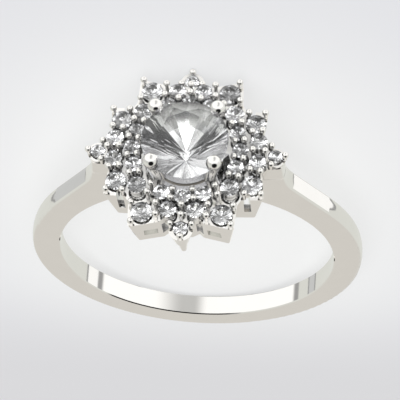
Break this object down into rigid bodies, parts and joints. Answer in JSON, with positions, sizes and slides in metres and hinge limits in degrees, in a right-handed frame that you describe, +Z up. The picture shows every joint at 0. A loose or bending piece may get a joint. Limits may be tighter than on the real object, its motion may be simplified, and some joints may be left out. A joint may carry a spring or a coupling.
{
  "type": "prong set cluster ring",
  "caption": "Polished white metal finger ring: round centre stone on four ball prongs, star-shaped double halo of small stones, pierced gallery and plain narrow shank.",
  "frame": {"origin": "centre of the bottom of the bounding box, as the ring lies on its side", "axes": "+Z up; the head points to -Y and the far side of the shank to +Y; +X across the finger hole"},
  "size_m": [0.0206, 0.0248, 0.0109],
  "materials": {
    "white_gold": "mirror polished, rhodium white",
    "centre_gem": "faceted, colourless round brilliant",
    "halo_gem": "faceted, colourless small round brilliants"
  },
  "bodies": {
    "root": {"ring_mount": "white_gold", "centre_stone": "centre_gem", "inner_stone_1": "halo_gem", "inner_stone_2": "halo_gem", "inner_stone_3": "halo_gem", "inner_stone_4": "halo_gem", "inner_stone_5": "halo_gem", "inner_stone_6": "halo_gem", "inner_stone_7": "halo_gem", "inner_stone_8": "halo_gem", "inner_stone_9": "halo_gem", "inner_stone_10": "halo_gem", "inner_stone_11": "halo_gem", "inner_stone_12": "halo_gem", "bay_stone_1": "halo_gem", "bay_stone_2": "halo_gem", "bay_stone_3": "halo_gem", "bay_stone_4": "halo_gem", "mid_stone_1": "halo_gem", "mid_stone_2": "halo_gem", "mid_stone_3": "halo_gem", "mid_stone_4": "halo_gem", "mid_stone_5": "halo_gem", "mid_stone_6": "halo_gem", "mid_stone_7": "halo_gem", "mid_stone_8": "halo_gem", "point_stone_1": "halo_gem", "point_stone_2": "halo_gem", "point_stone_3": "halo_gem", "point_stone_4": "halo_gem", "point_stone_5": "halo_gem", "point_stone_6": "halo_gem", "point_stone_7": "halo_gem", "point_stone_8": "halo_gem", "tip_stone_1": "halo_gem", "tip_stone_2": "halo_gem", "tip_stone_3": "halo_gem", "tip_stone_4": "halo_gem"}
  },
  "joints": []
}
